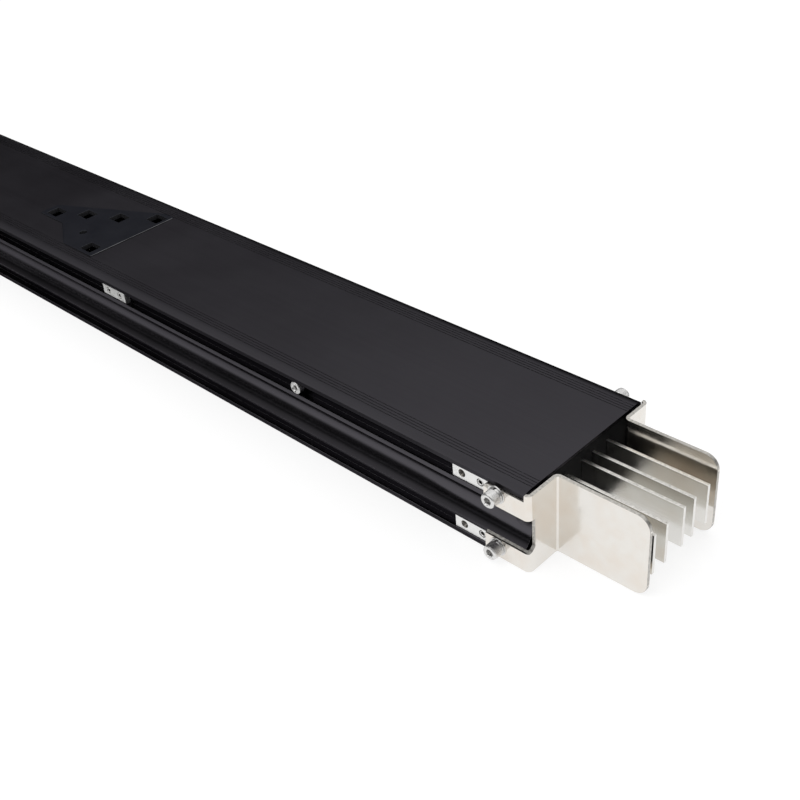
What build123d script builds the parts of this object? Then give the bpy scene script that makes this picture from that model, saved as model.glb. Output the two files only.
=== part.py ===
from build123d import *
import os

# Busbar trunking, 1.8 m long, in millimetres.
# +X runs along the trunking to the front end, +Y across it, +Z up, with the base at Z = 0.
# Both ends are alike, and so are both sides apart from how far out the blades of the end plates stand.

# Housing
length = 1800.0
width = 150.0
height = 75.0
wall = 2.0
joint_gap = 0.1

# Top cover
cover_thickness = 2.5
edge_drop = 2.0
edge_roll = 8.0
nose_depth = 3.4
groove_count = 4
groove_pitch = 3.0
groove_first = 10.0
groove_width = 0.8
groove_depth = 0.4

# Bottom cover, and the feet and top webs of the side profiles
foot_thickness = 1.8
foot_reach = 18.0
top_web_reach = 13.0
bottom_thickness = 2.0

# Slots for the nut strips
strip_neck = 12.1
strip_body = 14.1
strip_body_depth = 5.0
strip_clearance = 0.3
upper_strip_z = 63.0
lower_strip_z = 10.9

# Concave channel along the middle of each side
channel_bottom = 19.1
channel_top = 52.5
channel_depth = 9.0
channel_lip = 1.5

# Conductor bars: the place of each across the trunking
bar_places = (-36.0, -20.0, 2.5, 16.5, 35.5)
bar_thickness = 3.0
bar_height = 38.0
bar_bottom = 19.5
bar_reach = 88.0
bar_clearance = 0.15

# Insulating supports for the bars
support_thickness = 14.0
support_setback = 4.0
support_beside = 20.0
support_top_gap = 0.3

# Bent end plates
plate_thickness = 3.0
plate_seat = 1.0
plate_gap = 3.0
bend_inner = 2.0
flange_reach = 38.0
flange_corner = 5.0
flange_clearance = 0.3
notch_bottom = 18.3
notch_top = 51.0
notch_wrap = 7.0
notch_slope = 5.5
blade_offset = {"left": 41.5, "right": 47.5}
blade_reach = 88.0
blade_corner = 12.0

# Nut strips, and the tapped holes along them
strip_sunk = 1.0
hole_pitch = 18.5
hole_margin = 9.4
end_strip_holes = 3
end_strip_open = 1
short_strip_holes = 2
screw_inset = 25.2
tapped_radius = 3.4
plate_hole_radius = 4.5

# Cap screws and their washers
fastener_sides = 16
shank_radius = 3.3
head_radius = 6.5
head_height = 8.0
socket_across = 6.0
socket_depth = 4.0
plain_washer_radius = 8.0
plain_washer_thickness = 1.0
spring_washer_radius = 7.0
spring_washer_thickness = 1.8
spring_washer_split = 1.6
washer_bore_radius = 4.2

# Grub screws
grub_radius = 3.3
grub_socket_across = 4.0
grub_socket_depth = 3.0
grub_sunk = 0.4

# Round screw in the left upper slot
slot_screw_inset = 253.0
slot_screw_proud = 0.5
slot_screw_radius = 6.0
slot_screw_height = 5.8
slot_screw_shank = 3.3

# Tap-off outlets in the top cover
outlet_first = 595.0
outlet_pitch = 600.0
outlet_length = 142.0
outlet_width = 110.0
outlet_tail_low = -28.0
outlet_tail_high = -4.0
outlet_tail_length = 46.0
outlet_foot_length = 52.0
outlet_head_length = 16.0
outlet_corner = 3.0
outlet_proud = 0.8
outlet_thickness = 5.0
outlet_ledge = 3.0
outlet_ledge_thickness = 2.0
window_length = 18.0
window_width = 15.0
window_places = ((-14.0, 41.5), (-51.5, 18.0), (-90.0, 1.5), (-125.5, -16.0), (-17.5, -43.0))
key_place = (-55.5, -27.0)
key_radius = 4.0
short_strip_inset = 529.0

# Sizes that follow from those above
half_length = length / 2
half_width = width / 2
cover_under = height - cover_thickness
nose_bottom = cover_under + joint_gap - nose_depth
ceiling = cover_under - joint_gap - wall
back_wall = half_width - wall - strip_body_depth - strip_clearance
strip_face = half_width - strip_sunk
strip_back = back_wall + strip_clearance
channel_middle = (channel_top + channel_bottom) / 2
bottom_top = foot_thickness + bottom_thickness
plate_front = plate_gap + plate_thickness
plate_inside = half_width - plate_seat
plate_outside = plate_inside + plate_thickness
bend_outer = bend_inner + plate_thickness
flange_top = nose_bottom - flange_clearance
screw_seat = plate_outside + plain_washer_thickness + spring_washer_thickness
end_strip_length = 2 * hole_margin + (end_strip_holes - 1) * hole_pitch
short_strip_length = 2 * hole_margin + (short_strip_holes - 1) * hole_pitch
outlet_top = height + outlet_proud
beyond = 5.0


def block(x0, x1, y0, y1, z0, z1):
    """A box between two corners."""
    middle = ((x0 + x1) / 2, (y0 + y1) / 2, (z0 + z1) / 2)
    return Pos(*middle) * Box(x1 - x0, y1 - y0, z1 - z0)


def along(section, x0, x1):
    """A section drawn in the YZ plane and run along the trunking."""
    return extrude(Plane.YZ.offset(x0) * section, x1 - x0)


def across(section, x, z, y0, y1):
    """A section centred at x and z, and run across the trunking."""
    plane = Plane(origin=(x, y0, z), x_dir=(1, 0, 0), z_dir=(0, 1, 0))
    return extrude(plane * section, y1 - y0)


def outline(points):
    """A flat face from its corner points."""
    return make_face(Polyline(*points, close=True))


def round_corner(section, point, radius):
    corner = section.vertices().sort_by_distance(Vector(*point))[0]
    return fillet(corner, radius)


# Fasteners repeat more than fifty times, so their round sides and holes are made of flats
def fastener_round(radius):
    return RegularPolygon(radius, fastener_sides)


def fastener_hole(radius):
    """A hole of flats that a round shank of this radius would still pass."""
    return RegularPolygon(radius, fastener_sides, major_radius=False)


def socket(across_flats):
    return RegularPolygon(across_flats / 2, 6, major_radius=False)


# Stations along the trunking
def outlet_stations():
    """The front edge of each outlet."""
    count = 1 + int((length - outlet_first - outlet_length) // outlet_pitch)
    return [half_length - outlet_first - outlet_pitch * n for n in range(count)]


def support_stations():
    """Middles of the bar supports: one at each end, and one on each side of every outlet."""
    end = half_length - support_setback - support_thickness / 2
    stations = [-end, end]
    for start in outlet_stations():
        stations += [start + support_beside, start - outlet_length - support_beside]
    return sorted(stations)


# Housing
def cover_section():
    """Half of the top cover: flat, with a rolled edge that ends in a hooked nose."""
    tip = height - edge_drop
    roll_start = half_width - edge_roll
    roll_radius = (edge_roll**2 + edge_drop**2) / (2 * edge_drop)
    roll_middle = half_width - edge_roll / 2
    sag = roll_radius - (roll_radius**2 - (edge_roll / 2) ** 2) ** 0.5
    lines = [
        Line((0, height), (roll_start, height)),
        ThreePointArc((roll_start, height), (roll_middle, height - sag), (half_width, tip)),
        Line((half_width, tip), (half_width, nose_bottom)),
        Line((half_width, nose_bottom), (half_width - wall, nose_bottom)),
        Line((half_width - wall, nose_bottom), (half_width - wall, cover_under)),
        Line((half_width - wall, cover_under), (0, cover_under)),
        Line((0, cover_under), (0, height)),
    ]
    section = make_face(lines)
    for n in range(groove_count):
        y = half_width - groove_first - n * groove_pitch
        section -= Pos(y, height) * Rectangle(groove_width, 2 * groove_depth)
    return section


def top_cover():
    section = cover_section()
    section += mirror(section, Plane.YZ)
    cover = along(section, -half_length, half_length)
    for start in outlet_stations():
        cover -= outlet_prism(start, 0, cover_under - beyond, height + beyond)
    return cover


def side_profile():
    """The right-hand extrusion: two nut slots with a concave channel between them."""
    outer = half_width
    lip_back = outer - wall
    inner = back_wall - wall
    half_neck = strip_neck / 2 + strip_clearance
    half_body = strip_body / 2 + strip_clearance
    upper_slot = [
        (lip_back - joint_gap, ceiling + wall),
        (lip_back - joint_gap, ceiling),
        (back_wall, ceiling),
        (back_wall, upper_strip_z - half_body),
        (lip_back, upper_strip_z - half_body),
        (lip_back, upper_strip_z - half_neck),
        (outer, upper_strip_z - half_neck),
        (outer, channel_top),
        (outer - channel_lip, channel_top),
    ]
    lower_slot = [
        (outer, channel_bottom),
        (outer, lower_strip_z + half_neck),
        (lip_back, lower_strip_z + half_neck),
        (lip_back, lower_strip_z + half_body),
        (back_wall, lower_strip_z + half_body),
        (back_wall, lower_strip_z - half_body),
        (lip_back, lower_strip_z - half_body),
        (lip_back, lower_strip_z - half_neck),
        (outer, lower_strip_z - half_neck),
        (outer, 0),
        (outer - foot_reach, 0),
        (outer - foot_reach, foot_thickness),
        (inner, foot_thickness),
    ]
    deep = outer - channel_depth
    web_end = outer - top_web_reach
    channel = ThreePointArc(upper_slot[-1], (deep, channel_middle), lower_slot[0])
    wall_low = (inner, channel_bottom)
    wall_high = (inner, channel_top)
    inside = ThreePointArc(wall_low, (deep - wall, channel_middle), wall_high)
    close = [wall_high, (inner, ceiling), (web_end, ceiling), (web_end, ceiling + wall)]
    lines = Polyline(*upper_slot) + channel + Polyline(*lower_slot, wall_low)
    lines += inside + Polyline(*close, upper_slot[0])
    profile = along(make_face(lines.edges()), -half_length, half_length)
    seat = plate_recess()
    return profile - seat - mirror(seat, Plane.YZ)


def plate_recess():
    """The shallow cut across the lips that an end plate's flange lies in."""
    start = half_length - flange_reach - flange_clearance
    return block(start, half_length + beyond, plate_inside, half_width + beyond, -beyond, height)


def bottom_cover():
    edge = back_wall - wall - joint_gap
    return block(-half_length, half_length, -edge, edge, foot_thickness, bottom_top)


# Conductors
def conductor_bar(y):
    half = bar_thickness / 2
    reach = half_length + bar_reach
    return block(-reach, reach, y - half, y + half, bar_bottom, bar_bottom + bar_height)


def bar_support(x):
    """An insulating block that fits between the sides, with a slot for each bar."""
    edge = half_width - channel_depth - wall - bar_clearance
    half = support_thickness / 2
    support = block(x - half, x + half, -edge, edge, bottom_top, ceiling - support_top_gap)
    grip = bar_thickness / 2 + bar_clearance
    low = bar_bottom - bar_clearance
    high = bar_bottom + bar_height + bar_clearance
    for y in bar_places:
        support -= block(x - half - beyond, x + half + beyond, y - grip, y + grip, low, high)
    return support


# End plates
def plate_section(offset):
    """Plan of the bent sheet: flange, end face and blade, with a radius at each bend."""
    blade_out = offset + plate_thickness / 2
    blade_in = offset - plate_thickness / 2
    points = [
        (-flange_reach, plate_outside),
        (plate_front, plate_outside),
        (plate_front, blade_out),
        (blade_reach, blade_out),
        (blade_reach, blade_in),
        (plate_gap, blade_in),
        (plate_gap, plate_inside),
        (-flange_reach, plate_inside),
    ]
    section = outline(points)
    for n, radius in ((1, bend_outer), (2, bend_inner), (5, bend_outer), (6, bend_inner)):
        section = round_corner(section, points[n], radius)
    return section


def end_plate(offset):
    """The plate of the right-hand side, drawn with the housing's end at X = 0."""
    plate = extrude(plate_section(offset), height)
    inside = plate_inside - beyond
    outside = plate_outside + beyond
    edge = plate_outside - notch_wrap
    notch = [
        (edge, notch_bottom + notch_slope),
        (edge, notch_top),
        (outside, notch_top),
        (outside, notch_bottom),
        (edge + notch_slope, notch_bottom),
    ]
    plate -= along(outline(notch), -flange_reach - beyond, plate_front + beyond)
    bend_start = plate_front - bend_outer
    plate -= block(-flange_reach - beyond, bend_start, inside, outside, flange_top, height + beyond)
    for z in (upper_strip_z, lower_strip_z):
        plate -= across(fastener_hole(plate_hole_radius), -screw_inset, z, inside, outside)
    flange_corners = sheet_corners(plate, -flange_reach, (0, flange_top))
    plate = fillet(flange_corners, flange_corner)
    return fillet(sheet_corners(plate, blade_reach, (0, height)), blade_corner)


def sheet_corners(plate, x, levels):
    """The edges through the sheet's thickness at its end x, at the given heights."""
    through = plate.edges().filter_by(Axis.Y)
    at_end = through.filter_by(lambda edge: abs(edge.center().X - x) < joint_gap)
    return [edge for edge in at_end if min(abs(edge.center().Z - z) for z in levels) < joint_gap]


# Nut strips and fasteners of the right-hand side
def nut_strip(x0, z, holes, open_holes):
    """A tapped strip of T section, its neck standing in the slot's mouth.

    The first holes are open and round; those that hold a screw are made of flats.
    """
    end = x0 + 2 * hole_margin + (holes - 1) * hole_pitch
    shoulder = half_width - wall - strip_clearance
    half_neck = strip_neck / 2
    half_body = strip_body / 2
    strip = block(x0, end, shoulder, strip_face, z - half_neck, z + half_neck)
    strip += block(x0, end, strip_back, shoulder, z - half_body, z + half_body)
    for n in range(holes):
        x = x0 + hole_margin + n * hole_pitch
        hole = Circle(tapped_radius) if n < open_holes else fastener_hole(tapped_radius)
        strip -= across(hole, x, z, strip_back - beyond, strip_face + beyond)
    return strip


def cap_screw(x, z):
    """A socket head screw, with its head outside the plate and both washers."""
    end = screw_seat + head_height
    screw = across(fastener_round(head_radius), x, z, screw_seat, end)
    screw += across(fastener_round(shank_radius), x, z, strip_back, screw_seat)
    return screw - across(socket(socket_across), x, z, end - socket_depth, end + beyond)


def plain_washer(x, z):
    ring = fastener_round(plain_washer_radius) - fastener_round(washer_bore_radius)
    return across(ring, x, z, plate_outside, plate_outside + plain_washer_thickness)


def spring_washer(x, z):
    ring = fastener_round(spring_washer_radius) - fastener_round(washer_bore_radius)
    middle = (spring_washer_radius + washer_bore_radius) / 2
    ring -= Pos(0, -middle) * Rectangle(spring_washer_split, spring_washer_radius)
    return across(ring, x, z, screw_seat - spring_washer_thickness, screw_seat)


def grub_screw(x, z):
    """A grub screw that clamps its strip by pressing on the back of the slot."""
    end = strip_face - grub_sunk
    screw = across(fastener_round(grub_radius), x, z, back_wall + joint_gap, end)
    return screw - across(socket(grub_socket_across), x, z, end - grub_socket_depth, end + beyond)


def slot_screw(x, z):
    """A round head that fills the slot's mouth, on a shank that rests on the back of the slot."""
    end = half_width + slot_screw_proud
    under = end - slot_screw_height
    screw = across(fastener_round(slot_screw_radius), x, z, under, end)
    return screw + across(fastener_round(slot_screw_shank), x, z, back_wall, under)


# Tap-off outlets
def outlet_outline(start):
    """The plate in plan: wide at its front edge, with a tail that follows the row of windows."""
    edge = outlet_width / 2
    tail = start - outlet_length
    points = [
        (start, -edge),
        (start, edge),
        (start - outlet_head_length, edge),
        (tail, outlet_tail_high),
        (tail, outlet_tail_low),
        (tail + outlet_tail_length, outlet_tail_low),
        (start - outlet_foot_length, -edge),
    ]
    face = outline(points)
    return fillet(face.vertices(), outlet_corner)


def outlet_prism(start, grow, z0, z1):
    """The outlet's outline, grown all round, between two heights."""
    face = outlet_outline(start)
    if grow:
        face = offset(face, grow)
    return extrude(Pos(0, 0, z0) * face, z1 - z0)


def outlet_plate(start):
    """An insulating plate in the cover's opening, with a window for each bar and a round key hole."""
    plate = outlet_prism(start, -joint_gap, outlet_top - outlet_thickness, outlet_top)
    under = cover_under - joint_gap
    plate += outlet_prism(start, outlet_ledge, under - outlet_ledge_thickness, under)
    low = under - outlet_ledge_thickness - beyond
    high = outlet_top + beyond
    half_x = window_length / 2
    half_y = window_width / 2
    for dx, y in window_places:
        x = start + dx
        plate -= block(x - half_x, x + half_x, y - half_y, y + half_y, low, high)
    dx, y = key_place
    return plate - Pos(start + dx, y, low) * extrude(fastener_hole(key_radius), high - low)


# Placing and writing each piece
def to_side(shape, side):
    return shape if side == "right" else mirror(shape, Plane.XZ)


def to_end(shape, end):
    return shape if end == "front" else mirror(shape, Plane.YZ)


def placed(shape, end, side):
    return to_end(to_side(shape, side), end)


def together(shapes):
    return Compound(children=[solid for shape in shapes for solid in shape.solids()])


def save(shape, name):
    shape.label = name
    export_step(shape, "parts/" + name + ".step")


os.makedirs("parts", exist_ok=True)
sides = ("left", "right")
ends = ("front", "rear")
rows = {"upper": upper_strip_z, "lower": lower_strip_z}

save(top_cover(), "top_cover")
save(bottom_cover(), "bottom_cover")
profile = side_profile()
for side in sides:
    save(to_side(profile, side), side + "_side_profile")

for n, y in enumerate(bar_places):
    save(conductor_bar(y), "conductor_bar_" + str(n + 1))
save(together([bar_support(x) for x in support_stations()]), "bar_supports")

screw_x = half_length - screw_inset
strip_x = screw_x + hole_margin - end_strip_length
grub_x = screw_x - hole_pitch
grubs = []
for side in sides:
    plate = Pos(half_length, 0, 0) * end_plate(blade_offset[side])
    for end in ends:
        name = end + "_" + side
        save(placed(plate, end, side), name + "_end_plate")
        for row, z in rows.items():
            strip = nut_strip(strip_x, z, end_strip_holes, end_strip_open)
            save(placed(strip, end, side), name + "_" + row + "_nut_strip")
            grubs.append(placed(grub_screw(grub_x, z), end, side))
        makers = {"cap_screws": cap_screw, "plain_washers": plain_washer, "spring_washers": spring_washer}
        for kind, make in makers.items():
            pair = [placed(make(screw_x, z), end, side) for z in rows.values()]
            save(together(pair), name + "_" + kind)

short_strips = []
for side in sides:
    for n in range(len(outlet_stations())):
        x0 = half_length - short_strip_inset - short_strip_length / 2 - n * outlet_pitch
        short_strips.append(to_side(nut_strip(x0, upper_strip_z, short_strip_holes, 0), side))
        for hole in range(short_strip_holes):
            x = x0 + hole_margin + hole * hole_pitch
            grubs.append(to_side(grub_screw(x, upper_strip_z), side))
save(together(short_strips), "short_nut_strips")
save(together(grubs), "grub_screws")
save(to_side(slot_screw(half_length - slot_screw_inset, upper_strip_z), "left"), "slot_screw")

for n, start in enumerate(outlet_stations()):
    save(outlet_plate(start), "tap_off_outlet_" + str(n + 1))
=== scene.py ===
import math

import bmesh
import bpy
from mathutils import Matrix, Vector


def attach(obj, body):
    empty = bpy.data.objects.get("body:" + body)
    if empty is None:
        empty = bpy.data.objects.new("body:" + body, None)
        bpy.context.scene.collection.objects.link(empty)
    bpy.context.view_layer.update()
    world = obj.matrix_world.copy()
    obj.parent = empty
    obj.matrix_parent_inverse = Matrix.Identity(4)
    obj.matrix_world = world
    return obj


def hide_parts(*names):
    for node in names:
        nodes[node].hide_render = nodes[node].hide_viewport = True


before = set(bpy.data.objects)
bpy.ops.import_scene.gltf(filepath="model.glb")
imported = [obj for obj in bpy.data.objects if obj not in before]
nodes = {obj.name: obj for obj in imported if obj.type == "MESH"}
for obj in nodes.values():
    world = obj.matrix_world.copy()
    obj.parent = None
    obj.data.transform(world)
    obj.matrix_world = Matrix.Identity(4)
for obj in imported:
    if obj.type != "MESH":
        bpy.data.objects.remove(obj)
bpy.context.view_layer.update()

scene = bpy.context.scene

# Camera
CAMERA_PLACE = (1.3133, -0.5797, 0.6216)
CAMERA_AZIMUTH = 46.714
CAMERA_ELEVATION = 34.983
CAMERA_ROLL = -5.272
CAMERA_LENS = 51.91
SENSOR_WIDTH = 36.0

# Places along and across the trunking, in metres, as in the part's source
SIDES = {"left": -1, "right": 1}
ENDS = {"front": 1, "rear": -1}
ROWS = {"upper": 0.063, "lower": 0.0109}
BAR_COUNT = 5
SCREW_X = 0.8748
GRUB_X = 0.8563
OPEN_X = 0.8378
SHORT_STRIP_X = 0.371
HOLE_PITCH = 0.0185
OUTLET_FRONTS = (0.305, -0.295)
OUTLET_PITCH = 0.6
OUTLET_TOP = 0.0758
SLOT_SCREW_X = 0.647

# Distances of seats and faces from the middle plane
PLATE_OUT = 0.077
WASHER_THICK = 0.001
SPRING_THICK = 0.0018
SCREW_SEAT = PLATE_OUT + WASHER_THICK + SPRING_THICK
HEAD_HEIGHT = 0.008
STRIP_BACK = 0.068
GRUB_FACE = 0.0736
BACK_WALL = 0.0677
SLOT_SCREW_FACE = 0.0755
SLOT_SCREW_UNDER = 0.0697

# Fasteners; a socket has half its width across flats, and its depth
SHANK_RADIUS = 0.0033
HEAD_RADIUS = 0.0065
SLOT_SCREW_RADIUS = 0.0060
WASHER_BORE = 0.0042
PLAIN_WASHER_RADIUS = 0.0080
SPRING_WASHER_RADIUS = 0.0070
HEAD_SOCKET = (0.0030, 0.0040)
GRUB_SOCKET = (0.0017, 0.0026)
SLOT_SCREW_SOCKET = (0.0026, 0.0034)
SOCKET_CHAMFER = 0.0003
KNURL_COUNT = 44
KNURL_DEPTH = 0.00022
KNURLED_SEGMENTS = 264
GRUB_SEGMENTS = 96
WASHER_SEGMENTS = 72

# Thread ridges in the open holes
THREAD_PITCH = 0.00125
THREAD_DEPTH = 0.00042
THREAD_ROOT = 0.00338
THREAD_MOUTH = 0.0737
THREAD_SEGMENTS = 40
THREAD_RINGS_PER_TURN = 8

# Where a face of one node takes another material: a cut sheet edge, or a painted shade or highlight
LOW_ARM_TOP = 0.03
LOWER_LIP_TOP = 0.0275
SIDE_FACE = 0.0735
CHANNEL_INSIDE = 0.06
CHANNEL_FOOT = (0.017, 0.034)
CHANNEL_LEAN = (0.6, 0.95)
OUTLET_RIM = 0.0008
SHEET_RIM = 0.0033

# Rounding of edges
ROUNDED_ANGLE = math.radians(32)
SHARP_ANGLE = math.radians(34)
FLAT_ANGLE = math.radians(1)


def make_camera():
    az, el, roll = (math.radians(v) for v in (CAMERA_AZIMUTH, CAMERA_ELEVATION, CAMERA_ROLL))
    back = Vector((math.sin(az) * math.cos(el), -math.cos(az) * math.cos(el), math.sin(el)))
    right = (-back).cross(Vector((0, 0, 1))).normalized()
    up = right.cross(-back)
    turned_right = math.cos(roll) * right + math.sin(roll) * up
    turned_up = -math.sin(roll) * right + math.cos(roll) * up
    data = bpy.data.cameras.new("camera")
    data.lens = CAMERA_LENS
    data.sensor_width = SENSOR_WIDTH
    camera = bpy.data.objects.new("camera", data)
    axes = Matrix((turned_right, turned_up, back)).transposed().to_4x4()
    camera.matrix_world = Matrix.Translation(CAMERA_PLACE) @ axes
    scene.collection.objects.link(camera)
    scene.camera = camera


make_camera()


# Material tools
NOISE_ROUGHNESS = 0.55
MIX_INPUTS = (0, 6, 7)
MIX_OUTPUT = 2


def set_stops(ramp, stops):
    """Give a colour ramp its stops, each a place and a colour."""
    elements = ramp.elements
    while len(elements) < len(stops):
        elements.new(0.5)
    for element, (place, color) in zip(elements, stops):
        element.position = place
        element.color = (*color, 1)


class Maker:
    """A material and the few node chains that all of them use."""

    def __init__(self, name):
        self.material = bpy.data.materials.new(name)
        self.material.use_nodes = True
        self.tree = self.material.node_tree
        self.shader = self.tree.nodes["Principled BSDF"]
        self.place = self.tree.nodes.new("ShaderNodeTexCoord").outputs["Object"]

    def set(self, **values):
        for name, value in values.items():
            self.shader.inputs[name.replace("_", " ")].default_value = value

    def link(self, start, end):
        self.tree.links.new(start, end)

    def feed(self, socket, value):
        """Link a socket to another node's output, or give it a plain value."""
        if isinstance(value, bpy.types.NodeSocket):
            self.link(value, socket)
        else:
            socket.default_value = value

    def texture(self, kind, scale, stretch=(1, 1, 1)):
        """A texture laid over the object's own coordinates."""
        mapping = self.tree.nodes.new("ShaderNodeMapping")
        mapping.inputs["Scale"].default_value = [scale * v for v in stretch]
        self.link(self.place, mapping.inputs["Vector"])
        node = self.tree.nodes.new(kind)
        node.inputs["Scale"].default_value = 1.0
        self.link(mapping.outputs["Vector"], node.inputs["Vector"])
        return node

    def noise(self, scale, detail, stretch=(1, 1, 1)):
        node = self.texture("ShaderNodeTexNoise", scale, stretch)
        node.inputs["Detail"].default_value = detail
        node.inputs["Roughness"].default_value = NOISE_ROUGHNESS
        return node.outputs["Fac"]

    def spots(self, scale):
        return self.texture("ShaderNodeTexVoronoi", scale).outputs["Distance"]

    def ramp(self, value, stops):
        node = self.tree.nodes.new("ShaderNodeValToRGB")
        set_stops(node.color_ramp, stops)
        self.link(value, node.inputs["Fac"])
        return node.outputs["Color"]

    def span(self, value, low, high, start=0.3, end=0.7):
        """The value's range from start to end, spread over low to high."""
        node = self.tree.nodes.new("ShaderNodeMapRange")
        node.inputs["From Min"].default_value = start
        node.inputs["From Max"].default_value = end
        node.inputs["To Min"].default_value = low
        node.inputs["To Max"].default_value = high
        self.link(value, node.inputs["Value"])
        return node.outputs["Result"]

    def mix(self, factor, first, second):
        node = self.tree.nodes.new("ShaderNodeMix")
        node.data_type = "RGBA"
        for index, value in zip(MIX_INPUTS, (factor, first, second)):
            self.feed(node.inputs[index], value)
        return node.outputs[MIX_OUTPUT]

    def add(self, first, second):
        node = self.tree.nodes.new("ShaderNodeMath")
        node.operation = "ADD"
        self.feed(node.inputs[0], first)
        self.feed(node.inputs[1], second)
        return node.outputs["Value"]

    def bump(self, layers):
        """Layers of (height, strength, distance), one on top of the other."""
        normal = None
        for height, strength, distance in layers:
            node = self.tree.nodes.new("ShaderNodeBump")
            node.inputs["Strength"].default_value = strength
            node.inputs["Distance"].default_value = distance
            self.link(height, node.inputs["Height"])
            if normal:
                self.link(normal, node.inputs["Normal"])
            normal = node.outputs["Normal"]
        self.link(normal, self.shader.inputs["Normal"])

    def color(self, value):
        self.link(value, self.shader.inputs["Base Color"])

    def rough(self, value):
        self.link(value, self.shader.inputs["Roughness"])


def black_anodised(name, dark, light, low, high, streak):
    """Black anodised aluminium: die lines along the length and a fine orange peel.

    It is a dark metal whose tint keeps its shine low at a flat angle.
    """
    m = Maker(name)
    clouds = m.noise(9, 4)
    lines = m.noise(620, 2, (0.004, 1, 1))
    peel = m.noise(900, 2)
    grain = m.noise(2600, 2)
    tone = m.add(m.span(clouds, 0, 0.7), m.span(lines, 0, 0.3))
    m.color(m.ramp(tone, ((0.1, dark), (0.9, light))))
    m.rough(m.add(m.span(clouds, low, high), m.span(lines, -0.015, 0.025)))
    m.bump(((lines, streak, 0.00008), (peel, 0.22, 0.00006), (grain, 0.1, 0.00002)))
    m.set(Metallic=1.0, Specular_Tint=(0.4, 0.4, 0.4, 1))
    return m


def plated(name, clean, warm, low, high):
    """Bright tin plating on copper: long rolling lines, warm clouds and small specks."""
    m = Maker(name)
    clouds = m.noise(22, 3, (1, 1, 0.7))
    stains = m.noise(75, 4)
    lines = m.noise(900, 2, (0.012, 1, 1))
    specks = m.spots(420)
    tint = m.span(m.add(clouds, m.span(stains, -0.12, 0.12)), 0, 1, 0.42, 0.72)
    body = m.mix(tint, (*clean, 1), (*warm, 1))
    dots = m.span(specks, 0.35, 0, 0.03, 0.11)
    m.color(m.mix(dots, body, (0.42, 0.38, 0.33, 1)))
    m.rough(m.add(m.span(stains, low, high), m.span(lines, -0.02, 0.05)))
    m.bump(((lines, 0.05, 0.00005), (stains, 0.12, 0.0002), (specks, 0.03, 0.00004)))
    m.set(Metallic=1.0)
    return m


def metal(name, first, second, low, high, scale, bump):
    """Plain metal with cloudy tone and a fine grain."""
    m = Maker(name)
    clouds = m.noise(scale, 4)
    grain = m.noise(scale * 24, 2)
    m.color(m.ramp(clouds, ((0.3, first), (0.72, second))))
    m.rough(m.add(m.span(clouds, low, high), m.span(grain, -0.05, 0.05)))
    m.bump(((grain, bump, 0.00003),))
    m.set(Metallic=1.0)
    return m


def moulded(name, dark, light, low, high, grain_scale):
    """Moulded plastic with a fine grain."""
    m = Maker(name)
    clouds = m.noise(26, 3)
    grain = m.noise(grain_scale, 3)
    m.color(m.ramp(clouds, ((0.3, dark), (0.75, light))))
    m.rough(m.span(grain, low, high))
    m.bump(((grain, 0.25, 0.00005),))
    return m


housing = black_anodised(
    "black_anodised", (0.042, 0.040, 0.045), (0.051, 0.049, 0.055), 0.29, 0.36, 0.05)
# Lighter copy of the anodising for the side profiles, to brighten their channels: painted sheen.
channel = black_anodised(
    "black_anodised_side_painted_sheen", (0.072, 0.069, 0.077), (0.090, 0.086, 0.096), 0.17, 0.23, 0.1)
# Darker copy of the anodising for the lower lips and the foot of the channel: painted shade.
painted_shade_lip = black_anodised(
    "black_anodised_lip_painted_shade", (0.026, 0.025, 0.028), (0.036, 0.034, 0.038), 0.19, 0.25, 0.1)
# Lighter copy of the anodising for the rounded edges of the housing: painted highlight.
housing_edge_highlight = black_anodised(
    "black_anodised_edge_highlight", (0.080, 0.078, 0.086), (0.125, 0.121, 0.130), 0.24, 0.32, 0.05)
plating = plated("tin_plating", (0.800, 0.775, 0.735), (0.780, 0.725, 0.660), 0.10, 0.19)
plating_edge = metal(
    "tin_plating_edge", (0.26, 0.25, 0.23), (0.66, 0.64, 0.60), 0.28, 0.42, 560, 0.45)
# Darker copy of the edge plating for the upward edges of the plates' low arms: painted shade.
low_arm_edge_shade = metal(
    "tin_plating_low_arm_shade", (0.10, 0.095, 0.09), (0.34, 0.33, 0.31), 0.30, 0.44, 420, 0.4)
bar_plating = plated("bar_plating", (0.790, 0.780, 0.750), (0.760, 0.735, 0.690), 0.12, 0.22)
bar_rim = metal(
    "bar_plating_rim", (0.40, 0.39, 0.36), (0.76, 0.74, 0.70), 0.26, 0.40, 420, 0.35)
bar_edge = metal(
    "bar_plating_edge", (0.74, 0.73, 0.70), (0.86, 0.85, 0.83), 0.30, 0.42, 300, 0.2)
zinc = metal("bright_zinc", (0.80, 0.80, 0.79), (0.87, 0.87, 0.86), 0.34, 0.46, 160, 0.25)
steel = metal("satin_steel", (0.64, 0.635, 0.63), (0.79, 0.785, 0.775), 0.24, 0.34, 240, 0.2)
# Darker steel for the bottom of the screw sockets: painted shade.
socket_shade_steel = metal(
    "socket_shade_steel", (0.24, 0.235, 0.23), (0.46, 0.455, 0.445), 0.26, 0.40, 500, 0.3)
# Darker steel down the open holes, in the grub screws' sockets and at their outer step: painted
# shade.
recess_shade_steel = metal(
    "thread_painted_shade", (0.090, 0.083, 0.075), (0.34, 0.325, 0.300), 0.22, 0.36, 420, 0.3)
insulator = moulded(
    "moulded_insulator", (0.004, 0.004, 0.0045), (0.008, 0.008, 0.009), 0.48, 0.62, 1500)
insulator.set(Specular_IOR_Level=0.07)
outlet_black = moulded(
    "outlet_plastic", (0.034, 0.035, 0.040), (0.044, 0.045, 0.051), 0.34, 0.44, 1300)
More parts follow.
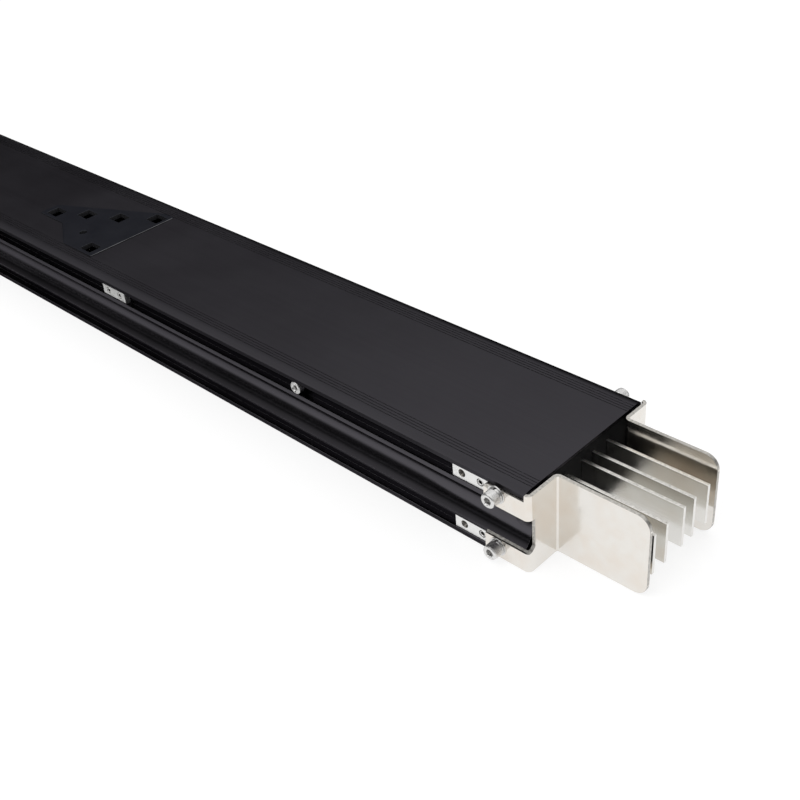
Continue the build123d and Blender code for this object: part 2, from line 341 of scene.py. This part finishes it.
# Lighter copy of the plastic for the front rim of the outlets: painted highlight.
outlet_rim_highlight = moulded(
    "outlet_plastic_edge_highlight", (0.06, 0.06, 0.065), (0.26, 0.26, 0.27), 0.30, 0.40, 1300)
for maker in (outlet_black, outlet_rim_highlight):
    maker.set(Metallic=1.0, Specular_Tint=(0.35, 0.35, 0.37, 1))
# Darker matte copy of the plastic for the walls inside the windows, which sets how dark they look:
# painted shade.
outlet_window_shade = moulded(
    "outlet_plastic_window_shade", (0.016, 0.016, 0.018), (0.030, 0.030, 0.033), 0.50, 0.62, 1300)
outlet_window_shade.set(Specular_IOR_Level=0.2)


# Geometry tools
def add_piece(mesh, name, materials, replaced=()):
    piece = bpy.data.objects.new(name, mesh)
    scene.collection.objects.link(piece)
    for maker in materials[len(mesh.materials):]:
        mesh.materials.append(maker.material)
    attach(piece, "root")
    if replaced:
        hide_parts(*replaced)
    return piece


def rim_of_sheet(face):
    """Whether a face is the cut edge of 3 mm sheet: narrow, and not a strip of a bend."""
    half_round = sum(edge.calc_length() for edge in face.edges) / 2
    x, y, z = (abs(v) for v in face.normal)
    return face.calc_area() / half_round < SHEET_RIM and (z > 0.05 or max(x, y) > 0.999)


def dressed(name, materials, width, segments=2, rim=None):
    """A copy of a node with its sharp edges rounded.

    The rounded faces take the last material. With a rim, the sheet's cut edges take the material
    of that index, and those at its ends along X the last one.
    """
    last = len(materials) - 1
    bm = bmesh.new()
    bm.from_mesh(nodes[name].data)
    bmesh.ops.remove_doubles(bm, verts=bm.verts, dist=0.000001)
    bmesh.ops.dissolve_limit(bm, angle_limit=FLAT_ANGLE, verts=bm.verts, edges=bm.edges)
    for face in bm.faces:
        face.smooth = True
        face.material_index = 0
        if rim and rim_of_sheet(face):
            face.material_index = last if abs(face.normal.x) > 0.9 else rim
    mesh = bpy.data.meshes.new(name + "_skin")
    bm.to_mesh(mesh)
    bm.free()
    shaper = bpy.data.objects.new(name + "_shaper", mesh)
    scene.collection.objects.link(shaper)
    for maker in materials:
        mesh.materials.append(maker.material)
    bevel = shaper.modifiers.new("edges", "BEVEL")
    bevel.width = width
    bevel.segments = segments
    bevel.limit_method = "ANGLE"
    bevel.angle_limit = ROUNDED_ANGLE
    bevel.use_clamp_overlap = True
    bevel.material = last
    bevel.harden_normals = False
    weighted = shaper.modifiers.new("normals", "WEIGHTED_NORMAL")
    weighted.keep_sharp = False
    weighted.weight = 80
    graph = bpy.context.evaluated_depsgraph_get()
    made = bpy.data.meshes.new_from_object(
        shaper.evaluated_get(graph), preserve_all_data_layers=True, depsgraph=graph)
    bpy.data.objects.remove(shaper)
    made.name = name + "_dressed"
    return add_piece(made, name + "_dressed", materials, (name,))


def ring_radius(kind, radius, angle):
    if kind.startswith("hex"):
        return radius / math.cos(angle % (math.pi / 3) - math.pi / 6)
    if kind == "knurl":
        return radius - KNURL_DEPTH * (0.5 - 0.5 * math.cos(angle * KNURL_COUNT))
    return radius


def turned(bm, rings, segments, x, z, side):
    """A turned skin about an axis along Y: rings of (kind, radius, distance from the middle).

    The faces that lead to a ring whose kind ends in "dark" take the second material, a darker one
    that paints shade.
    """
    rows = []
    for kind, radius, out in rings:
        count = segments if radius else 1
        row = []
        for n in range(count):
            angle = 2 * math.pi * n / segments
            r = ring_radius(kind, radius, angle)
            corner = (x + r * math.cos(angle), side * out, z + r * math.sin(angle))
            row.append(bm.verts.new(corner))
        rows.append(row)
    for low, high, (kind, _, _) in zip(rows, rows[1:], rings[1:]):
        for n in range(segments):
            m = (n + 1) % segments
            corners = [low[n % len(low)], low[m % len(low)]]
            corners += [high[m % len(high)], high[n % len(high)]]
            unique = list(dict.fromkeys(corners))
            if len(unique) > 2:
                bm.faces.new(unique).material_index = int(kind.endswith("dark"))


def finish_mesh(bm, name):
    bmesh.ops.recalc_face_normals(bm, faces=bm.faces)
    for face in bm.faces:
        face.smooth = True
    mesh = bpy.data.meshes.new(name)
    bm.to_mesh(mesh)
    bm.free()
    mesh.set_sharp_from_angle(angle=SHARP_ANGLE)
    return mesh


def socket_rings(face, flat, depth, wall="hex"):
    """From the flat of a head, over a small chamfer, down a hexagon socket to its drilled end."""
    return [
        ("round", flat * 1.26, face),
        ("hex", flat * 1.07, face - SOCKET_CHAMFER),
        (wall, flat, face - 2 * SOCKET_CHAMFER),
        (wall, flat, face - depth),
        ("round_dark", flat * 0.7, face - depth),
        ("round_dark", 0, face - depth - 2 * SOCKET_CHAMFER),
    ]


def cap_screw(bm, x, z, side):
    face = SCREW_SEAT + HEAD_HEIGHT
    rings = [
        ("round", 0, STRIP_BACK),
        ("round", 0.0028, STRIP_BACK),
        ("round", SHANK_RADIUS, STRIP_BACK + 0.0005),
        ("round", SHANK_RADIUS, SCREW_SEAT),
        ("round", 0.0061, SCREW_SEAT),
        ("round", 0.0064, SCREW_SEAT + 0.0003),
        ("knurl", HEAD_RADIUS, SCREW_SEAT + 0.0006),
        ("knurl", HEAD_RADIUS, face - 0.0017),
        ("round", 0.0064, face - 0.0013),
        ("round", 0.0063, face - 0.0006),
        ("round", 0.0058, face - 0.0001),
        ("round", 0.0055, face),
    ]
    turned(bm, rings + socket_rings(face, *HEAD_SOCKET), KNURLED_SEGMENTS, x, z, side)


def plain_washer(bm, x, z, side):
    inner, outer, cut = WASHER_BORE, PLAIN_WASHER_RADIUS, 0.00018
    low, high = PLATE_OUT, PLATE_OUT + WASHER_THICK
    rings = [
        ("round", inner, low + cut),
        ("round", inner + cut, low),
        ("round", outer - cut, low),
        ("round", outer, low + cut),
        ("round", outer, high - cut),
        ("round", outer - cut, high),
        ("round", inner + cut, high),
        ("round", inner, high - cut),
        ("round", inner, low + cut),
    ]
    turned(bm, rings, WASHER_SEGMENTS, x, z, side)


def spring_washer(bm, x, z, side):
    """A split ring of square wire with its split at the top.

    Its ends lie a little apart along the axis, and are cut at a slant.
    """
    inner, outer, cut = WASHER_BORE, SPRING_WASHER_RADIUS, 0.0002
    low = PLATE_OUT + WASHER_THICK + 0.00002
    thick = SPRING_THICK - 0.00022
    rise = 0.00018
    half_split = 0.155
    slant = 0.09
    steps = 64
    rows = []
    for n in range(steps + 1):
        part = n / steps
        angle = math.pi / 2 + half_split + part * (2 * math.pi - 2 * half_split)
        base = low + rise * part
        top = base + thick
        section = [
            (inner, base + cut), (inner + cut, base), (outer - cut, base), (outer, base + cut),
            (outer, top - cut), (outer - cut, top), (inner + cut, top), (inner, top - cut),
        ]
        lean = slant if n in (0, steps) else 0
        row = []
        for r, out in section:
            turn = angle + lean * (out - base - thick / 2) / thick
            corner = (x + r * math.cos(turn), side * out, z + r * math.sin(turn))
            row.append(bm.verts.new(corner))
        rows.append(row)
    for low_row, high_row in zip(rows, rows[1:]):
        for n in range(len(section)):
            m = (n + 1) % len(section)
            bm.faces.new((low_row[n], low_row[m], high_row[m], high_row[n]))
    bm.faces.new(rows[0])
    bm.faces.new(rows[-1][::-1])


def grub_screw(bm, x, z, side):
    rings = [
        ("round", 0, BACK_WALL + 0.0001),
        ("round", 0.0026, BACK_WALL + 0.0001),
        ("round", SHANK_RADIUS, BACK_WALL + 0.0008),
        ("round", SHANK_RADIUS, GRUB_FACE - 0.0009),
        ("round_dark", 0.0028, GRUB_FACE - 0.0006),
        ("round", 0.0027, GRUB_FACE - 0.0001),
        ("round", 0.0026, GRUB_FACE),
    ]
    rings += socket_rings(GRUB_FACE, *GRUB_SOCKET, "hex_dark")
    turned(bm, rings, GRUB_SEGMENTS, x, z, side)


def slot_screw(bm, x, z, side):
    face = SLOT_SCREW_FACE
    rings = [
        ("round", 0, BACK_WALL),
        ("round", SHANK_RADIUS, BACK_WALL),
        ("round", SHANK_RADIUS, SLOT_SCREW_UNDER),
        ("round", 0.0056, SLOT_SCREW_UNDER),
        ("round", 0.0059, SLOT_SCREW_UNDER + 0.0003),
        ("knurl", SLOT_SCREW_RADIUS, SLOT_SCREW_UNDER + 0.0006),
        ("knurl", SLOT_SCREW_RADIUS, face - 0.0014),
        ("round", 0.0059, face - 0.0011),
        ("round", 0.0058, face - 0.0004),
        ("round", 0.0054, face),
    ]
    turned(bm, rings + socket_rings(face, *SLOT_SCREW_SOCKET), KNURLED_SEGMENTS, x, z, side)


def tapped_thread(bm, x, z, side):
    """The ridges of a thread down an open hole."""
    low = STRIP_BACK + 0.0002
    depth = THREAD_MOUTH - low
    count = int(depth / THREAD_PITCH * THREAD_RINGS_PER_TURN)
    rows = []
    for k in range(count + 1):
        out = low + depth * k / count
        row = []
        for n in range(THREAD_SEGMENTS):
            angle = 2 * math.pi * n / THREAD_SEGMENTS
            phase = (out / THREAD_PITCH - n / THREAD_SEGMENTS) % 1
            r = THREAD_ROOT - THREAD_DEPTH * (1 - abs(2 * phase - 1))
            corner = (x + r * math.cos(angle), side * out, z + r * math.sin(angle))
            row.append(bm.verts.new(corner))
        rows.append(row)
    for low_row, high_row in zip(rows, rows[1:]):
        for n in range(THREAD_SEGMENTS):
            m = (n + 1) % THREAD_SEGMENTS
            bm.faces.new((low_row[n], high_row[n], high_row[m], low_row[m]))


def many(name, make, places, materials, replaced=()):
    """One piece made of a shape repeated at several places."""
    bm = bmesh.new()
    for x, z, side in places:
        make(bm, x, z, side)
    return add_piece(finish_mesh(bm, name), name, materials, replaced)


def below_channel(face):
    """Whether a face of a side profile is a flat lower lip or the steep foot of the channel, where
    shade is painted.
    """
    _, y, z = face.center
    flat = abs(face.normal.y) > 0.98 and abs(y) > SIDE_FACE and z < LOWER_LIP_TOP
    leaning = CHANNEL_LEAN[0] < face.normal.z < CHANNEL_LEAN[1]
    low = CHANNEL_FOOT[0] < z < CHANNEL_FOOT[1]
    return flat or leaning and low and abs(y) > CHANNEL_INSIDE


# Housing
# The rounded edges of the housing take the lighter copy: painted highlight.
dressed("top_cover", (housing, housing_edge_highlight), 0.00016)
dressed("bottom_cover", (housing, housing_edge_highlight), 0.0003)
for side in SIDES:
    finishes = (channel, painted_shade_lip, housing_edge_highlight)
    profile = dressed(side + "_side_profile", finishes, 0.0003)
    # The faces below the channel take the darker copy: painted shade.
    for face in profile.data.polygons:
        if face.material_index == 0 and below_channel(face):
            face.material_index = 1
dressed("bar_supports", (insulator,), 0.0004)

# Conductors
for n in range(BAR_COUNT):
    finishes = (bar_plating, bar_rim, bar_edge)
    dressed("conductor_bar_" + str(n + 1), finishes, 0.0003, rim=1)
for end in ENDS:
    for side in SIDES:
        name = end + "_" + side + "_end_plate"
        finishes = (plating, low_arm_edge_shade, plating_edge)
        plate = dressed(name, finishes, 0.00042, segments=3, rim=2)
        # Upward edge faces on the low arm take the darker copy: painted shade.
        for face in plate.data.polygons:
            on_low_arm = face.normal.z > 0.5 and face.center.z < LOW_ARM_TOP
            if face.material_index == 2 and on_low_arm:
                face.material_index = 1

# Strips and fasteners
for end, ex in ENDS.items():
    for side, sy in SIDES.items():
        name = end + "_" + side
        for row in ROWS:
            dressed(name + "_" + row + "_nut_strip", (zinc,), 0.0003)
        places = [(ex * SCREW_X, z, sy) for z in ROWS.values()]
        many(name + "_socket_screws", cap_screw, places, (steel, socket_shade_steel),
             (name + "_cap_screws",))
        many(name + "_flat_rings", plain_washer, places, (steel,),
             (name + "_plain_washers",))
        many(name + "_split_rings", spring_washer, places, (steel,),
             (name + "_spring_washers",))
dressed("short_nut_strips", (zinc,), 0.0003)


def at_corners(x):
    """Places at both ends and sides, in both rows."""
    return [(ex * x, z, sy) for ex in ENDS.values() for sy in SIDES.values() for z in ROWS.values()]


grubs = at_corners(GRUB_X)
for sy in SIDES.values():
    for n in range(len(OUTLET_FRONTS)):
        for half in (-0.5, 0.5):
            x = SHORT_STRIP_X - n * OUTLET_PITCH + half * HOLE_PITCH
            grubs.append((x, ROWS["upper"], sy))
many("hexagon_grub_screws", grub_screw, grubs, (steel, recess_shade_steel),
     ("grub_screws",))
many("round_slot_screw", slot_screw, [(SLOT_SCREW_X, ROWS["upper"], SIDES["left"])],
     (steel, socket_shade_steel), ("slot_screw",))
many("tapped_hole_threads", tapped_thread, at_corners(OPEN_X), (recess_shade_steel,))

# Outlets: a painted highlight only along the rim of the front edge, and painted shade inside the
# windows from a darker matte copy of the plastic
for n, front in enumerate(OUTLET_FRONTS):
    finishes = (outlet_black, outlet_window_shade, outlet_rim_highlight)
    outlet = dressed("tap_off_outlet_" + str(n + 1), finishes, 0.0005)
    for face in outlet.data.polygons:
        if face.center.x < front - OUTLET_RIM:
            if face.center.z < OUTLET_TOP - OUTLET_RIM:
                face.material_index = 1
            elif face.material_index == 2:
                face.material_index = 0


# Floor and light
def seen_directly(tree):
    """1 where the eye, a reflection or a view through glass meets a surface, else 0."""
    path = tree.nodes.new("ShaderNodeLightPath")
    value = path.outputs["Is Camera Ray"]
    for name in ("Is Glossy Ray", "Is Transmission Ray"):
        most = tree.nodes.new("ShaderNodeMath")
        most.operation = "MAXIMUM"
        tree.links.new(value, most.inputs[0])
        tree.links.new(path.outputs[name], most.inputs[1])
        value = most.outputs[0]
    return value


def grey(level):
    return (level, level, level, 1)


def make_world():
    world = bpy.data.worlds.new("world")
    scene.world = world
    world.use_nodes = True
    tree = world.node_tree
    white = tree.nodes.new("ShaderNodeBackground")
    white.inputs["Color"].default_value = grey(1)
    soft = tree.nodes["Background"]
    soft.inputs["Color"].default_value = grey(0.80)
    mix = tree.nodes.new("ShaderNodeMixShader")
    tree.links.new(seen_directly(tree), mix.inputs["Fac"])
    tree.links.new(soft.outputs[0], mix.inputs[1])
    tree.links.new(white.outputs[0], mix.inputs[2])
    tree.links.new(mix.outputs[0], tree.nodes["World Output"].inputs["Surface"])


def bare_material(name):
    """A material with nothing but its output node."""
    material = bpy.data.materials.new(name)
    material.use_nodes = True
    shaders = material.node_tree.nodes
    shaders.remove(shaders["Principled BSDF"])
    return material


def floor_material():
    """White to the eye and in reflections, with a soft shadow; plain pale paint to other light."""
    material = bare_material("floor_white")
    tree = material.node_tree
    plain = tree.nodes.new("ShaderNodeBsdfDiffuse")
    plain.inputs["Color"].default_value = grey(0.85)
    seen = tree.nodes.new("ShaderNodeBsdfDiffuse")
    seen.inputs["Color"].default_value = grey(0.36)
    glow = tree.nodes.new("ShaderNodeEmission")
    glow.inputs["Strength"].default_value = 0.74
    both = tree.nodes.new("ShaderNodeAddShader")
    mix = tree.nodes.new("ShaderNodeMixShader")
    link = tree.links.new
    link(seen.outputs[0], both.inputs[0])
    link(glow.outputs[0], both.inputs[1])
    link(seen_directly(tree), mix.inputs["Fac"])
    link(plain.outputs[0], mix.inputs[1])
    link(both.outputs[0], mix.inputs[2])
    link(mix.outputs[0], tree.nodes["Material Output"].inputs["Surface"])
    return material


def make_floor():
    mesh = bpy.data.meshes.new("floor")
    bm = bmesh.new()
    bmesh.ops.create_grid(bm, x_segments=1, y_segments=1, size=12)
    bm.to_mesh(mesh)
    bm.free()
    mesh.materials.append(floor_material())
    floor = bpy.data.objects.new("floor", mesh)
    scene.collection.objects.link(floor)


def softbox(name, place, target, size, power):
    data = bpy.data.lights.new(name, "AREA")
    data.shape = "RECTANGLE"
    data.size, data.size_y = size
    data.energy = power
    lamp = bpy.data.objects.new(name, data)
    aim = (Vector(target) - Vector(place)).to_track_quat("-Z", "Y")
    lamp.matrix_world = Matrix.Translation(place) @ aim.to_matrix().to_4x4()
    scene.collection.objects.link(lamp)


def stage_card(name, corners, faces, material):
    """A board or ring that only reflections show, for a painted reflection."""
    mesh = bpy.data.meshes.new(name)
    mesh.from_pydata(corners, [], faces)
    mesh.materials.append(material)
    card = bpy.data.objects.new(name, mesh)
    scene.collection.objects.link(card)
    card.visible_camera = False
    card.visible_diffuse = False
    card.visible_transmission = False
    card.visible_shadow = False


def reflection_card(name, y, low, high, level):
    """A board beside the object that only reflections show, and draws the curve of the channels: a
    painted reflection.
    """
    material = bpy.data.materials.new(name)
    material.use_nodes = True
    shader = material.node_tree.nodes["Principled BSDF"]
    shader.inputs["Base Color"].default_value = grey(level)
    shader.inputs["Roughness"].default_value = 1.0
    reach = 4
    corners = [(-reach, y, low), (reach, y, low), (reach, y, high), (-reach, y, high)]
    stage_card(name, corners, [(0, 1, 2, 3)], material)


def glow_along(name, axis, start, end):
    """A glowing material, its glow, and a range that spans the card from start to end."""
    material = bare_material(name)
    tree = material.node_tree
    place = tree.nodes.new("ShaderNodeTexCoord")
    split = tree.nodes.new("ShaderNodeSeparateXYZ")
    span = tree.nodes.new("ShaderNodeMapRange")
    span.inputs["From Min"].default_value = start
    span.inputs["From Max"].default_value = end
    glow = tree.nodes.new("ShaderNodeEmission")
    link = tree.links.new
    link(place.outputs["Object"], split.inputs[0])
    link(split.outputs[axis], span.inputs["Value"])
    link(glow.outputs[0], tree.nodes["Material Output"].inputs["Surface"])
    return material, glow, span


def grey_reflection_ring():
    """A round grey ring that glows and only reflections show: a painted reflection that darkens the
    far cover, with a soft lower and upper edge.
    """
    radius, low, high, count = 6.0, 0.2, 4.0, 48
    levels = ((0.0, 1.0), (0.08, 0.50), (0.20, 0.16), (0.50, 0.12), (0.80, 0.66), (1.0, 1.0))
    material, glow, height = glow_along("grey_reflection_ring", "Z", low, high)
    tree = material.node_tree
    ramp = tree.nodes.new("ShaderNodeValToRGB")
    set_stops(ramp.color_ramp, [(place, (level,) * 3) for place, level in levels])
    tree.links.new(height.outputs[0], ramp.inputs["Fac"])
    tree.links.new(ramp.outputs["Color"], glow.inputs["Color"])
    corners = []
    for n in range(count):
        angle = 2 * math.pi * n / count
        x, y = radius * math.cos(angle), radius * math.sin(angle)
        corners += [(x, y, low), (x, y, high)]
    total = len(corners)
    faces = [(n, (n + 2) % total, (n + 3) % total, n + 1) for n in range(0, total, 2)]
    stage_card("grey_reflection_ring", corners, faces, material)


def dark_floor_reflection(name, side):
    """A glowing strip on the floor that only reflections show: a painted dark reflection a little
    way off the object, with a soft inner edge.
    """
    near, dark, far = side * 0.12, side * 0.165, side * 2.2
    reach, height = 0.74, 0.001
    material, glow, span = glow_along(name, "Y", near, dark)
    span.interpolation_type = "SMOOTHSTEP"
    span.inputs["To Min"].default_value = 1.0
    span.inputs["To Max"].default_value = 0.05
    material.node_tree.links.new(span.outputs[0], glow.inputs["Strength"])
    corners = [(-reach, near), (reach, near), (reach, far), (-reach, far)]
    stage_card(name, [(x, y, height) for x, y in corners], [(0, 1, 2, 3)], material)


make_world()
# Strips seen only in reflections: painted dark reflections of the floor.
for name, side in SIDES.items():
    dark_floor_reflection(name + "_dark_floor_reflection", side)
# A ring seen only in reflections: painted reflection.
grey_reflection_ring()
make_floor()
softbox("key_light", (0.2, -1.6, 2.4), (0.4, 0, 0), (1.8, 1.2), 12)
softbox("back_light", (0.1, 1.5, 1.5), (0.8, 0, 0.05), (1.6, 1.0), 1.2)
# Boards seen only in reflections: painted dark and grey reflections in the channels.
for n, y in enumerate((-2.2, 2.2)):
    reflection_card("dark_reflection_card_" + str(n + 1), y, 0.002, 0.42, 0.01)
    reflection_card("grey_reflection_card_" + str(n + 1), y, 0.42, 1.15, 0.14)

scene.view_settings.view_transform = "Standard"
